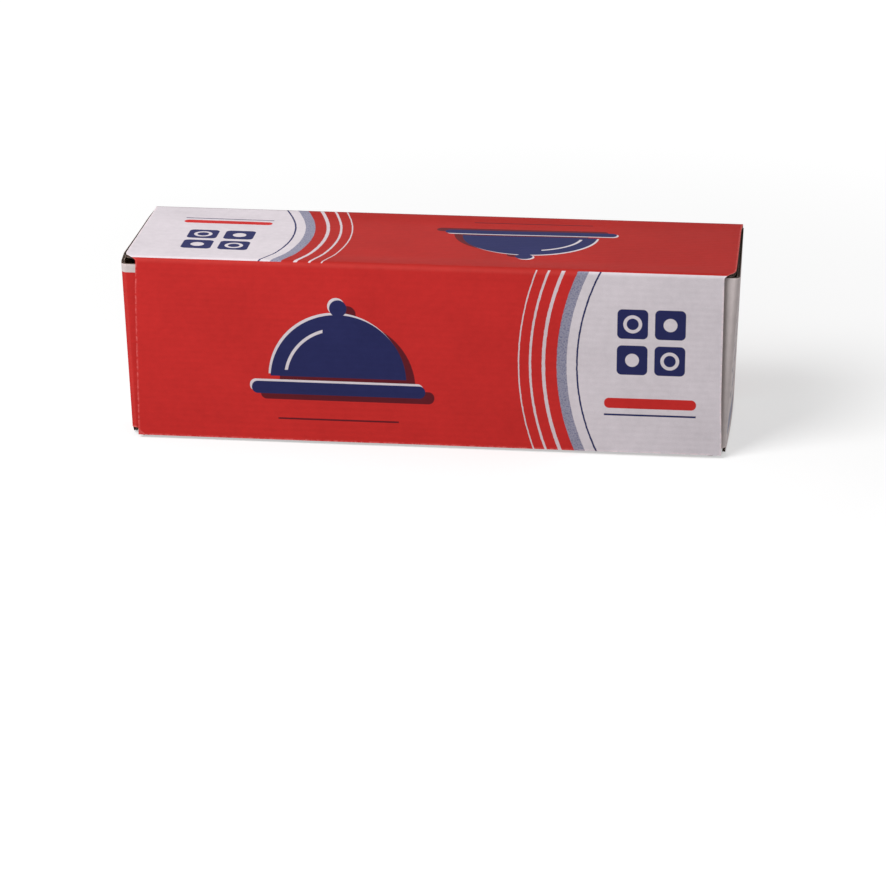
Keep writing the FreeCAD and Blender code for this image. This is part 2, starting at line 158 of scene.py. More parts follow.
class Sheets:
    """Grids of points gathered into one mesh, each with its print map and material."""

    def __init__(self):
        self.points = []
        self.faces = []
        self.maps = []
        self.rims = []
        self.slots = []
        self.loose = []
        self.count = 0

    def grid(
        self, points, prints, slot, away, split=None, prints_after=None, rim=None, loose=False
    ):
        """Adds a grid whose faces look along away. From row split on, prints_after is its
        map. rim is how far each point lies from the nearest raw edge. A loose grid shares
        no points with its neighbours."""
        points = np.asarray(points, float)
        rows, columns = points.shape[:2]
        a = points[:-1, :-1]
        normal = np.cross(points[1:, :-1] - a, points[:-1, 1:] - a)
        away = np.broadcast_to(away, points.shape)[:-1, :-1]
        turned = float((normal * away).sum()) < 0
        index = self.count + np.arange(rows * columns).reshape(rows, columns)
        prints = np.asarray(prints, float)
        rim = np.zeros((rows, columns)) if rim is None else rim
        for i in range(rows - 1):
            here = prints if split is None or i < split else prints_after
            for j in range(columns - 1):
                ring = [(i, j), (i + 1, j), (i + 1, j + 1), (i, j + 1)]
                if turned:
                    ring.reverse()
                self.faces.append([int(index[k]) for k in ring])
                self.maps.extend(here[k[0], k[1]] for k in ring)
                self.rims.extend((rim[k[0], k[1]], 0.0) for k in ring)
                self.slots.append(slot)
        self.points.append(points.reshape(-1, 3))
        self.loose.extend([loose] * (rows * columns))
        self.count += rows * columns

    def board(self, outer, inner, prints, rims, split=None, prints_after=None):
        """A board with an outer and an inner face. rims names the sides that show the
        board's thickness: first and last row, first and last column. Each is "cut" along
        the flutes, "open" across them, a "fold" where the sheet goes on, or None."""
        outer = np.asarray(outer, float)
        inner = np.asarray(inner, float)
        rim = from_raw_edge(outer, rims)
        self.grid(outer, prints, OUTSIDE, outer - inner, split, prints_after, rim)
        self.grid(inner, prints, INSIDE, inner - outer, split, prints_after, rim)
        sides = (
            (outer[0], inner[0], outer[1]),
            (outer[-1], inner[-1], outer[-2]),
            (outer[:, 0], inner[:, 0], outer[:, 1]),
            (outer[:, -1], inner[:, -1], outer[:, -2]),
        )
        for (near, far, within), kind in zip(sides, rims):
            if kind in ("cut", "fold"):
                self.cut_edge(near, far, within)
            elif kind == "open":
                self.open_edge(near, far, within)

    def cut_edge(self, near, far, within):
        """A cut along the flutes: plain thickness, a little rounded."""
        across = (0.0, 0.2, 0.5, 0.8, 1.0)
        dent = (0.0, 0.02, 0.08, 0.02, 0.0)
        inward = within - near
        inward /= np.linalg.norm(inward, axis=1)[:, None] + 1e-9
        grid = [near + (far - near) * t + inward * d for t, d in zip(across, dent)]
        length = along(near)
        prints = [np.stack([length, np.full(len(length), t * BOARD)], 1) for t in across]
        self.grid(np.array(grid), np.array(prints), EDGE, -inward[None])

    def open_edge(self, near, far, within):
        """A cut across the flutes: two liners with the wavy medium between them."""
        # Shares of the thickness: a liner, and half of the medium
        liner = 0.15
        medium = 0.05
        # Depth of the opening, and how far the medium is set in
        deep = 3.0
        set_in = 0.15
        steps_in_flute = 10
        row_of_print = 0.4
        inward = within - near
        inward /= np.linalg.norm(inward, axis=1)[:, None] + 1e-9
        length = along((near + far) / 2)
        steps = max(8, int(length[-1] / (FLUTE / steps_in_flute)))
        fine = np.linspace(0, length[-1], steps + 1)
        near, far, inward = (
            np.stack([np.interp(fine, length, p[:, k]) for k in range(3)], 1)
            for p in (near, far, inward)
        )
        through = far - near

        def strip(rows, slot, away):
            prints = [
                np.stack([fine, np.full(len(fine), r * row_of_print)], 1)
                for r in range(len(rows))
            ]
            self.grid(np.array(rows), np.array(prints), slot, away, loose=True)

        top = near + through * liner
        foot = far - through * liner
        strip([near, top], EDGE, -inward[None])
        strip([foot, far], EDGE, -inward[None])
        strip([top, top + inward * deep], FLUTES, through[None])
        strip([foot, foot + inward * deep], FLUTES, -through[None])
        strip([top + inward * deep, foot + inward * deep], FLUTES, -inward[None])
        wave = 0.5 + (0.5 - liner - medium) * np.sin(2 * math.pi * fine / FLUTE)
        high = near + through * (wave - medium)[:, None] + inward * set_in
        low = near + through * (wave + medium)[:, None] + inward * set_in
        reach = inward * (deep - set_in)
        strip([high, low], EDGE, -inward[None])
        strip([high, high + reach], FLUTES, -through[None])
        strip([low, low + reach], FLUTES, through[None])

    def build(self, name, materials, body, slot, node=None, sharp=38):
        """Makes the piece. It rides on a body, unless body is None, and may replace a node."""
        mesh = bpy.data.meshes.new(name)
        points = np.concatenate(self.points) * MM
        mesh.from_pydata(points.tolist(), [], self.faces)
        for title, places in (("Print", self.maps), ("Rim", self.rims)):
            layer = mesh.uv_layers.new(name=title)
            layer.data.foreach_set("uv", (np.array(places) * MM).astype(np.float32).ravel())
        mesh.polygons.foreach_set("material_index", self.slots)
        for material in materials:
            mesh.materials.append(material)
        work = bmesh.new()
        work.from_mesh(mesh)
        shared = [point for point, loose in zip(work.verts, self.loose) if not loose]
        bmesh.ops.remove_doubles(work, verts=shared, dist=2e-6)
        work.to_mesh(mesh)
        work.free()
        mesh.polygons.foreach_set("use_smooth", [True] * len(mesh.polygons))
        mesh.set_sharp_from_angle(angle=math.radians(sharp))
        piece = bpy.data.objects.new(name, mesh)
        scene.collection.objects.link(piece)
        if body:
            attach(piece, body)
        if node:
            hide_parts(node)
        return piece


# The carton's panels

def end_out(side, y, z):
    """Outer face of an end: it leans in towards the foot, most of all at the front. The
    left one bulges from its rear edge on, and the right one widens evenly."""
    pinch_rear = 30.0
    forward = (END_REAR - y) / (END_REAR - FRONT)
    pinch = np.clip((pinch_rear - y) / (pinch_rear - FRONT), 0.0, 1.0) ** 2
    foot = END_FOOT[side] - END_PINCH[side] * pinch
    if side < 0:
        top = END_TOP[side] + 0.4 * ramp(0.0, 0.18, forward) + 0.7 * forward ** 4
    else:
        top = END_TOP[side] + 1.2 * forward
    return foot + (top - foot) * z / LID_UNDER


def end_top(side, y):
    """Top edge of an end: low at the front corner, a crest, and low at the back."""
    crest = 98.0
    shoulder = 97.9
    places = [FRONT, -36.0, -28.0, BACK]
    return np.interp(y, places, [CORNER_TOP[side], shoulder, crest, shoulder])


def mouth_top(x):
    """Top edge of the front panel, lower in the middle where the foil is drawn out."""
    half_mouth = 124.0
    mouth_height = 83.4
    slope = 0.9375
    foot_rounding = 9.0
    head_rounding = 0.4
    r = np.abs(x) - half_mouth
    rise = mouth_height + slope * (r + np.sqrt(r * r + foot_rounding)) / 2
    limit = CORNER_TOP[-1 if x < 0 else 1]
    gap = limit - rise
    return limit - (gap + np.sqrt(gap * gap + head_rounding)) / 2


def front_foot(kind, place):
    """Lower edge: on the crease in front, raw at the ends, and notched at the corners."""
    notch_rear = -40.0
    notch_inner = 153.0
    crease_end = 150.5
    notch = RELIEF - RAW_FOOT
    if kind == "arc":
        return RELIEF
    if kind == "end":
        return RAW_FOOT + notch * float(ramp(notch_rear, FRONT + CORNER, place))
    crease = (CREASE - RAW_FOOT) * float(ramp(crease_end, crease_end - 3.0, abs(place)))
    return RAW_FOOT + crease + notch * float(ramp(notch_inner, HALF_FRONT, abs(place)))


def wrapped_columns(ends, across):
    """Columns of a panel with two turned ends: kind, side, and place or angle."""
    turn = quarter(CORNER_STEPS)[1:-1]
    columns = [("end", -1, y) for y in ends]
    columns += [("arc", -1, t) for t in turn]
    columns += [("face", 0, x) for x in across]
    columns += [("arc", 1, t) for t in turn[::-1]]
    columns += [("end", 1, y) for y in ends[::-1]]
    return columns


def front_columns():
    """Columns of the front panel and its ends, closer together where the outline turns."""
    near_corner = -30
    ends = np.concatenate([
        np.linspace(END_REAR, near_corner, 28),
        np.linspace(near_corner - 2, FRONT + CORNER, 9),
    ])
    across = np.concatenate([
        np.linspace(-HALF_FRONT, -146.5, 12),
        np.linspace(-144, -118, 22),
        np.linspace(-112, 112, 33),
        np.linspace(118, 144, 22),
        np.linspace(146.5, HALF_FRONT, 12),
    ])
    return wrapped_columns(ends, across)


def front_points(kind, side, place, z, inset):
    """One column of the front panel or of an end, that far inside its outer face."""
    if kind == "end":
        x = side * (end_out(side, place, z) - inset)
        return np.column_stack([x, np.full_like(z, place), z])
    if kind == "arc":
        reach = CORNER - inset
        centre = end_out(side, FRONT + CORNER, z) - CORNER
        x = side * (centre + reach * math.cos(place))
        y = FRONT + CORNER - reach * math.sin(place)
        return np.column_stack([x, np.full_like(z, y), z])
    limit = end_out(-1 if place < 0 else 1, FRONT + CORNER, z) - CORNER
    return np.column_stack([place * limit / HALF_FRONT, np.full_like(z, FRONT + inset), z])


def tray_front_and_ends():
    """Front panel with its low mouth, and the outer ends that turn back from it."""
    made = Sheets()
    outer, inner, prints = [], [], []
    for kind, side, place in front_columns():
        foot = front_foot(kind, place)
        if kind == "end":
            top = float(end_top(side, place))
            u = side * (HALF_BOX + (place - FRONT))
        elif kind == "arc":
            top = CORNER_TOP[side]
            u = side * (HALF_BOX - 2.0 + 2.0 * math.cos(place))
        else:
            top = float(mouth_top(place))
            u = place
        z = foot + (top - foot) * np.linspace(0, 1, PANEL_ROWS)
        outer.append(front_points(kind, side, place, z, 0.0))
        inner.append(front_points(kind, side, place, z, BOARD))
        prints.append(np.column_stack([np.full_like(z, u), z]))
    made.board(outer, inner, np.array(prints), ("fold", "cut", "open", "open"))
    return made


def back_points(kind, side, place, z, inset):
    """One column of the back panel or of a dust flap, which lies inside an end."""
    panel_bow = 0.5
    if kind == "end":
        x = side * (end_out(side, place, z) - BOARD - GLUE_GAP - inset)
        return np.column_stack([x, np.full_like(z, place), z])
    left, right = (
        sign * (end_out(sign, BACK - CORNER, z) - BOARD - GLUE_GAP - CORNER) for sign in (-1, 1)
    )
    if kind == "arc":
        reach = CORNER - inset
        x = (left if side < 0 else right) + side * reach * math.cos(place)
        y = BACK - CORNER + reach * math.sin(place)
        return np.column_stack([x, np.full_like(z, y), z])
    x = left + (right - left) * (place + 1) / 2
    bow = panel_bow * (1 - place * place) * np.sin(math.pi * z / PANEL)
    return np.column_stack([x, BACK - inset + bow, z])


def tray_back_and_dust():
    """Back panel, with the dust flaps that turn forward from it."""
    made = Sheets()
    flap_long = 58.0
    flap_top = 95.4
    flap_slant = 12.0
    back_top = 98.1
    front_edge = BACK - flap_long
    columns = wrapped_columns(np.linspace(front_edge, BACK - CORNER, 26), np.linspace(-1, 1, 61))
    outer, inner, prints = [], [], []
    for kind, side, place in columns:
        foot = RAW_FOOT
        if kind == "end":
            top = min(flap_top, flap_top - flap_slant + (place - front_edge))
            u = side * (HALF_BOX + BACK - place)
        elif kind == "arc":
            top = flap_top + (back_top - flap_top) * float(ramp(0.4, 1.0, place))
            u = side * (HALF_BOX + 2.0 * math.cos(place))
        else:
            foot = CREASE
            top = back_top
            u = 157.0 * place
        z = foot + (top - foot) * np.linspace(0, 1, PANEL_ROWS)
        outer.append(back_points(kind, side, place, z, 0.0))
        inner.append(back_points(kind, side, place, z, BOARD))
        prints.append(np.column_stack([np.full_like(z, u), z]))
    made.board(outer, inner, np.array(prints), ("fold", "fold", "open", "open"))
    return made


def crushed_thickness(z):
    """Thickness of an end flap, crushed between the other layers near its foot."""
    crushed = 1.0
    return crushed + (BOARD - crushed) * float(ramp(14.0, 44.0, z))


def bottom_panel(made):
    """Bottom panel with the creases up to the front and back panels."""
    line = [(FRONT, CREASE)]
    line += [
        (FRONT + CREASE - CREASE * math.cos(t), CREASE - CREASE * math.sin(t))
        for t in quarter(CORNER_STEPS)[1:]
    ]
    line += [(y, 0.0) for y in np.linspace(FRONT + CREASE, BACK - CREASE, 24)[1:]]
    line += [
        (BACK - CREASE + CREASE * math.sin(t), CREASE - CREASE * math.cos(t))
        for t in quarter(CORNER_STEPS)[1:]
    ]
    line = np.array(line)
    x = np.linspace(-SEAM, SEAM, 75)
    prints = np.array([[(a, b + BOTTOM_PRINT) for a in x] for b in along(line)])
    inner = swept(line + left_of(line) * BOARD, x)
    made.board(swept(line, x), inner, prints, (None, None, None, None))


def bottom_flap(made, side):
    """End flap of the bottom, folded up inside the dust flaps."""
    clearance = 1.5
    head_at_corner = 44.0
    head_limit = 56.0
    layers = 2 * BOARD + 2 * GLUE_GAP
    low_y = FRONT + BOARD + clearance
    high_y = BACK - BOARD - clearance
    outer, inner, prints = [], [], []
    for y in np.linspace(low_y, high_y, 47):
        head = min(head_limit, head_at_corner + min(y - low_y, high_y - y))
        foot = float(end_out(side, y, 0.0)) - layers
        out_line = [(SEAM, 0.0)]
        in_line = [(SEAM, BOARD)]
        for t in quarter(7):
            a = foot - CREASE + CREASE * math.sin(t)
            b = CREASE - CREASE * math.cos(t)
            thick = BOARD + (crushed_thickness(0) - BOARD) * t / (math.pi / 2)
            out_line.append((a, b))
            in_line.append((a - thick * math.sin(t), b + thick * math.cos(t)))
        for z in np.linspace(CREASE, head, 16)[1:]:
            face = float(end_out(side, y, z)) - layers
            out_line.append((face, z))
            in_line.append((face - crushed_thickness(z), z))
        outer.append([(side * a, y, b) for a, b in out_line])
        inner.append([(side * a, y, b) for a, b in in_line])
        prints.append([(side * (a + b), y + BOTTOM_PRINT) for a, b in out_line])
    made.board(outer, inner, np.array(prints), ("cut", "cut", None, "open"))


def tray_bottom():
    """Bottom panel with its two end flaps."""
    made = Sheets()
    bottom_panel(made)
    for side in (-1, 1):
        bottom_flap(made, side)
    return made


def flap_reach(side, z):
    """Half width of the flap: less near the left's top, and more near the right's foot."""
    if side < 0:
        return FLAP_HALF[-1] - 0.6 * float(ramp(78.0, 97.0, z))
    return FLAP_HALF[1] + 0.75 * float(ramp(36.0, 4.0, z))


def lid_reach(side, y):
    """How far the top panel reaches along x, with its front corners cut off."""
    full = LID_HALF[side]
    if side > 0:
        full += 0.6 * float(ramp(34.0, BACK, y))
    flap = flap_reach(side, LID_TOP)
    return full - (full - flap) * math.exp((FLAP - y) / LID_CORNER[side])


def lid_profile():
    """The lid from its rear crease over the top and down the flap: y, z and part."""
    near_fold = -30.0
    line = [(BACK, LID_UNDER, "rear")]
    line += [
        (BACK - REAR + REAR * math.cos(t), LID_TOP - REAR + REAR * math.sin(t), "rear")
        for t in quarter(6)[1:]
    ]
    line += [(y, LID_TOP, "top") for y in np.linspace(BACK - REAR, near_fold, 26)[1:]]
    line += [(y, LID_TOP, "top") for y in np.linspace(near_fold - 1.2, FLAP + CREASE, 14)]
    line += [
        (FLAP + CREASE - CREASE * math.sin(t), LID_TOP - CREASE + CREASE * math.cos(t), "fold")
        for t in quarter(10)[1:]
    ]
    line += [(FLAP, z, "flap") for z in np.linspace(LID_TOP - CREASE, FLAP_FOOT, 38)[1:]]
    return line


def lid_bow(kind, x, y, z):
    """How far the top or the flap stands out from its plane: the top sags, the flap bulges."""
    top_sag = 0.7
    flap_bulge = 0.45
    flap_stand = 0.15
    free = 1 - (x / HALF_BOX) ** 2
    if kind == "top":
        inside = float(ramp(BACK - REAR, 30.0, y) * ramp(FLAP + CREASE, -30.0, y))
        return -top_sag * free * inside + cockle(x, y, 1.3) * inside
    if kind == "flap":
        inside = float(ramp(LID_TOP - CREASE, 80.0, z))
        bulge = flap_bulge * free * math.sin(math.pi * z / PANEL) * inside
        return bulge + cockle(x, z, 4.1) * inside + flap_stand * inside
    return np.zeros_like(x)


def lid_board():
    """Top panel and front flap, folded from one board."""
    made = Sheets()
    rear_ridge = 0.3
    rear_share = 0.98
    flap_print_top = 98.5
    line = lid_profile()
    fold = [kind for y, z, kind in line].index("fold")
    # The two print maps meet in the fold. The flap's heights are counted from its middle.
    split = fold + 4
    fold_middle = fold + 5
    flat = np.array([(y, z) for y, z, kind in line])
    normal = -left_of(flat)
    length = along(flat)
    t = np.linspace(-1, 1, 97)
    outer, inner, top_map, flap_map = [], [], [], []
    for i, (y, z, kind) in enumerate(line):
        left, right = (
            flap_reach(side, z) if kind == "flap" else lid_reach(side, y) for side in (-1, 1)
        )
        x = (right - left) / 2 + (right + left) / 2 * t
        lift = float(ramp(38.0, BACK - REAR, y)) * float(ramp(LID_UNDER, LID_TOP, z))
        z = z + rear_ridge * lift
        bow = lid_bow(kind, x, y, z)
        out = normal[i]
        thick = BOARD if kind != "rear" else BOARD * rear_share
        outer.append([(a, y + out[0] * b, z + out[1] * b) for a, b in zip(x, bow)])
        inner.append(
            [(a, y - out[0] * (thick - b), z - out[1] * (thick - b)) for a, b in zip(x, bow)]
        )
        height = flap_print_top - (length[i] - length[fold_middle])
        top_map.append(np.column_stack([FLAP_END - x, np.full_like(x, length[i])]))
        flap_map.append(np.column_stack([x + FLAP_END, np.full_like(x, height)]))
    rims = ("fold", "cut", "open", "open")
    made.board(outer, inner, np.array(top_map), rims, split, np.array(flap_map))
    return made


def crease_liner():
    """Inner liner of the crease between back panel and lid."""
    made = Sheets()
    clear = 0.04
    liner = 0.1
    half = 158.4
    low = 94.5
    turn_from = 97.7
    turn_y = 0.5
    turn_z = 0.6
    face = BACK - BOARD - clear
    under = LID_UNDER - clear
    line = [(face, z) for z in np.linspace(low, turn_from, 4)]
    line += [
        (face - turn_y + turn_y * math.cos(t), under - turn_z + turn_z * math.sin(t))
        for t in quarter(16)
    ]
    line += [(y, under) for y in np.linspace(face - 0.9, face - 3.5, 4)]
    line = np.array(line)
    x = np.linspace(-half, half, 107)
    prints = np.array([[(a, b + PANEL) for a in x] for b in along(line)])
    inner = swept(line - left_of(line) * liner, x)
    made.board(swept(line, x), inner, prints, ("cut", "cut", "cut", "cut"))
    return made


# The roll

def foil_winding():
    """Lathe of the wound foil. Its turns don't lie quite flush on the two ends."""
    made = Sheets()
    rng = np.random.default_rng(7)
    turns = 44
    rounding = 0.3
    jog_limit = 0.25
    rim = 0.45
    radii = np.linspace(FOIL_BORE, FOIL_RADIUS - rounding, turns)
    jogs = {side: np.cumsum(rng.normal(0, 0.05, turns)) for side in (-1, 1)}
    profile = []
    for side in (-1, 1):
        jog = jogs[side] - jogs[side].mean()
        jog = np.clip(jog, -jog_limit, jog_limit)
        face = [(side * (FOIL_END - jog_limit + a), r) for a, r in zip(jog, radii)]
        edge = [
            (side * (FOIL_END - rim + rounding * math.sin(t)),
             FOIL_RADIUS - rounding + rounding * math.cos(t))
            for t in quarter(4)[::-1][1:]
        ]
        profile.append(face + edge)
    across = np.linspace(-FOIL_END + 1.2, FOIL_END - 1.2, 90)
    line = profile[0] + [(x, FOIL_RADIUS) for x in across] + profile[1][::-1]
    line = np.array(line)
    turn = np.linspace(0, 2 * math.pi, 181)
    x = line[:, 0][:, None] + 0 * turn[None]
    outer = ramp(FOIL_RADIUS - 1.0, FOIL_RADIUS, line[:, 1])[:, None]
    swell = 0.10 * np.sin(x * 0.045 + 2 * turn) * np.cos(3 * turn + x * 0.01)
    swell = swell + 0.05 * np.sin(x * 0.21 + 5 * turn)
    r = line[:, 1][:, None] + outer * (swell - 0.15)
    points = np.stack([x, ROLL_Y + r * np.sin(turn), ROLL_Z + r * np.cos(turn)], -1)
    away = points - np.array([0.0, ROLL_Y, ROLL_Z])
    prints = np.stack([x, FOIL_RADIUS * turn[None] + 0 * x], -1)
    made.grid(points, prints, OUTSIDE, away)
    return made


def foil_tail():
    """The free end of the foil: one turn's edge laid on the roll, torn along the teeth."""
    made = Sheets()
    pitch = 3.2
    count = 94
    tooth_depth = 1.65
    foil = 0.03
    rows = 26
    start = math.radians(58.0)
    stop = math.radians(-26.0)
    x = np.linspace(-count * pitch / 2, count * pitch / 2, count * 4 + 1)
    tooth = np.abs(((x / pitch) % 1.0) - 0.5) * 2
    wander = 0.6 * np.sin(x * 0.031) + 0.3 * np.sin(x * 0.11 + 1.0)
    reach = tooth_depth * tooth + wander
    outer, inner, prints = [], [], []
    for t in np.linspace(0, 1, rows):
        turn = start + (stop - start) * t - t ** 3 * reach / FOIL_RADIUS
        ripple = 0.03 * np.sin(x * 0.16 + 3 * t) * t + 0.03 * t ** 4 * (1 + np.sin(x * 0.07))
        r = FOIL_RADIUS - 0.02 + 0.1 * min(1.0, 5 * t) + ripple
        for size, into in ((r, outer), (r - foil, inner)):
            y = ROLL_Y + size * np.sin(turn)
            into.append(np.stack([x, y, ROLL_Z + size * np.cos(turn)], 1))
        prints.append(np.stack([x, FOIL_RADIUS * turn], 1))
    made.board(outer, inner, np.array(prints), (None, "cut", "cut", "cut"))
    return made


# Materials: arithmetic with nodes, and one surface at a time

def feed(tree, place, value):
    """Sets a node's input: linked to a Value or a socket, or as a constant."""
    if isinstance(value, Value):
        value = value.socket
    if isinstance(value, bpy.types.NodeSocket):
        tree.links.new(value, place)
    else:
        place.default_value = value


class Value:
    """A number in a node tree, with ordinary arithmetic."""

    def __init__(self, tree, socket):
        self.tree = tree
        self.socket = socket

    def math(self, operation, *others, clamp=False):
        node = self.tree.nodes.new("ShaderNodeMath")
        node.operation = operation
        node.use_clamp = clamp
        for place, value in zip(node.inputs, (self, *others)):
            feed(self.tree, place, value)
        return Value(self.tree, node.outputs[0])

    def __add__(self, other):
        return self.math("ADD", other)

    def __sub__(self, other):
        return self.math("SUBTRACT", other)

    def __rsub__(self, other):
        return (self * -1.0) + other

    def __mul__(self, other):
        return self.math("MULTIPLY", other)

    def __truediv__(self, other):
        return self.math("DIVIDE", other)

    def __abs__(self):
        return self.math("ABSOLUTE")

    def low(self, other):
        return self.math("MINIMUM", other)

    def high(self, other):
        return self.math("MAXIMUM", other)

    def clamp(self):
        return self.math("ADD", 0.0, clamp=True)


def linear(colour):
    """sRGB 0-255 to linear, with alpha."""
    return tuple(
        c / 12.92 if c <= 0.04045 else ((c + 0.055) / 1.055) ** 2.4
        for c in (v / 255 for v in colour)
    ) + (1.0,)


def gray(level):
    """A linear gray, with alpha."""
    return (level, level, level, 1.0)


class Surface:
    """One material under construction."""

    def __init__(self, name):
        self.material = bpy.data.materials.new(name)
        self.material.use_nodes = True
        self.tree = self.material.node_tree
        self.tree.nodes.clear()
        self.shader = self.tree.nodes.new("ShaderNodeBsdfPrincipled")
        out = self.tree.nodes.new("ShaderNodeOutputMaterial")
        self.tree.links.new(self.shader.outputs[0], out.inputs[0])
        self.bump = None

    def node(self, kind, **settings):
        node = self.tree.nodes.new(kind)
        for key, value in settings.items():
            setattr(node, key, value)
        return node

    def place(self, kind="Print", scale=PER_MM):
        """Coordinates: one of the two UV maps, or an output of Texture Coordinate."""
        if kind in ("Print", "Rim"):
            source = self.node("ShaderNodeUVMap", uv_map=kind).outputs[0]
        else:
            source = self.node("ShaderNodeTexCoord").outputs[kind]
        mapping = self.node("ShaderNodeMapping")
        mapping.inputs["Scale"].default_value = scale
        self.tree.links.new(source, mapping.inputs["Vector"])
        return mapping.outputs[0]

    def axes(self, kind="Object", scale=PER_MM):
        split = self.node("ShaderNodeSeparateXYZ")
        self.tree.links.new(self.place(kind, scale), split.inputs[0])
        return [Value(self.tree, o) for o in split.outputs]

    def noise(self, place, scale, detail=3.0, roughness=0.55):
        node = self.node("ShaderNodeTexNoise")
        names = ("Vector", "Scale", "Detail", "Roughness")
        for name, value in zip(names, (place, scale, detail, roughness)):
            feed(self.tree, node.inputs[name], value)
        return Value(self.tree, node.outputs["Fac"])

    def mix(self, share, under, over, mode="MIX"):
        # The node's inputs for colours are its seventh and eighth
        node = self.node("ShaderNodeMix", data_type="RGBA", blend_type=mode)
        for index, value in ((0, share), (6, under), (7, over)):
            feed(self.tree, node.inputs[index], value)
        return node.outputs[2]

    def set(self, name, value):
        feed(self.tree, self.shader.inputs[name], value)

    def raise_by(self, height, distance):
        """Adds a bump of that height field, distance in metres."""
        node = self.node("ShaderNodeBump")
        for name, value in (("Strength", 1.0), ("Distance", distance), ("Height", height)):
            feed(self.tree, node.inputs[name], value)
        if self.bump is not None:
            feed(self.tree, node.inputs["Normal"], self.bump.outputs[0])
        self.bump = node
        self.set("Normal", node.outputs[0])


# Distances to simple shapes, in millimetres of the print

def disc(a, b, x, y, radius):
    """Distance to a circle about x, y. It is negative inside."""
    dx = a - x
    dy = b - y
    return (dx * dx + dy * dy).math("SQRT") - radius


def bar(a, b, x, y, half_x, half_y, rounding=0.0):
    """Distance to a box about x, y, with round corners."""
    qx = abs(a - x) - (half_x - rounding)
    qy = abs(b - y) - (half_y - rounding)
    outside = (qx.high(0.0) * qx.high(0.0) + qy.high(0.0) * qy.high(0.0)).math("SQRT")
    return outside + qx.high(qy).low(0.0) - rounding


def fill(distance, soft=0.22):
    """1 inside a shape and 0 outside it, with a soft outline."""
    return (distance / -soft + 0.5).clamp()


# Inks and wear, with painted light among them: painted shade on the top panel and along its rear
# crease, a painted highlight below the fold, and a painted red reflection in the bare white
RED = linear((211, 52, 50))
# Painted shade: a darker copy of the red for the top panel, standing in for how the light falls
# there
SHADED_TOP_RED = linear((180, 46, 42))
# Painted highlight: lighter red for the band just below the lid's fold
FOLD_HIGHLIGHT_RED = linear((238, 104, 96))
# Painted shade: dark line along the lid's rear crease
FOLD_SHADE = linear((84, 34, 38))
WHITE = linear((228, 219, 225))
# Bare liner white: partly the liner's own warm tone, partly a painted warm reflection of red light
BARE_WHITE_WITH_RED_BOUNCE = linear((226, 214, 213))
NAVY = linear((47, 50, 96))
MAROON = linear((104, 36, 44))
SLATE = linear((162, 160, 178))
SLATE_GRAIN = linear((120, 120, 150))
RUBBED = linear((222, 196, 190))
FLECK = (0.20, 0.11, 0.105, 1.0)

# Middles of the printed shapes, from the panel's left edge and its foot
BAY = (345.0, 49.0)
DISH = (107.0, 35.0)
TILES = (271.0, 61.5)

# The white bay, with the arcs round it as radius and half width
BAY_RADIUS = 118.0
NAVY_ARC = (112.5, 0.45)
SLATE_ARC = (120.5, 2.6)
WHITE_ARCS = ((130.0, 0.9), (137.0, 0.6), (143.0, 0.35))

# The front panel's ink ends beside and above these lines
INK_SIDE = 140.0
INK_TOP = 90.4


def arc_line(distance, radius, half_width):
    """A line of that half width, at that distance from a middle."""
    return abs(distance - radius) - half_width


def cloche(a, b, x, y):
    """A covered dish: dome, knob and plate."""
    dome = disc(a, b, x, y, 36.0).high(y + 1.5 - b)
    knob = disc(a, b, x, y + 39.5, 4.6)
    plate = bar(a, b, x, y - 5.0, 46.0, 3.4, 3.2)
    return dome.low(knob).low(plate)


def bay_art(s, a, b, speckle, wobble, red):
    """White bay on red, edged by a navy line, a slate band and three white arcs."""
    centre = disc(a, b, *BAY, 0.0)
    centre = centre + wobble * 0.5
    colour = s.mix(fill(centre - BAY_RADIUS), red, WHITE)
    for radius, half in WHITE_ARCS:
        colour = s.mix(fill(arc_line(centre, radius, half)) * 0.92, colour, WHITE)
    grain = s.mix(speckle, SLATE, SLATE_GRAIN)
    colour = s.mix(fill(arc_line(centre, *SLATE_ARC)), colour, grain)
    return s.mix(fill(arc_line(centre, *NAVY_ARC)), colour, NAVY)


def dish_art(s, a, b, colour):
    """A covered dish with its shadow, its light outline and a gleam, over a thin rule."""
    x, y = DISH
    colour = s.mix(fill(cloche(a, b, x + 4.8, y - 3.0)), colour, MAROON)
    colour = s.mix(fill(cloche(a, b, x - 1.0, y + 1.2)), colour, WHITE)
    colour = s.mix(fill(cloche(a, b, x, y)), colour, NAVY)
    gleam = abs(disc(a, b, x, y, 28.0)) - 0.8
    gleam = gleam.high(y + 5.0 - b).high(a - (x - 8.2))
    colour = s.mix(fill(gleam), colour, WHITE)
    return s.mix(fill(bar(a, b, x, 13.0, 32.0, 0.45)), colour, MAROON)


def tile_art(s, a, b, colour):
    """Two rows of two tiles, with a disc in two and a ring in two, over a bar and a rule."""
    x, y = TILES
    colour = s.mix(fill(bar(a, b, x, 28.0, 24.0, 2.8, 2.6)), colour, RED)
    colour = s.mix(fill(bar(a, b, x, 21.6, 24.0, 0.5)), colour, NAVY)
    step = 9.8
    across = abs(a - x)
    up = abs(b - y)
    tile = bar(across, up, step, step, 8.0, 8.0, 2.6)
    colour = s.mix(fill(tile), colour, NAVY)
    even = fill((a - x) * (b - y) / 10.0)
    hole = disc(across, up, step, step, 3.6)
    ring = abs(disc(across, up, step, step, 4.0)) - 0.9
    colour = s.mix(fill(hole) * (1.0 - even), colour, WHITE)
    return s.mix(fill(ring) * even, colour, WHITE)


def main_art(s, a, b, speckle, wobble, red=RED):
    """Large panel: a covered dish on red, and a round white bay with four plain tiles."""
    colour = bay_art(s, a, b, speckle, wobble, red)
    return tile_art(s, a, b, dish_art(s, a, b, colour))


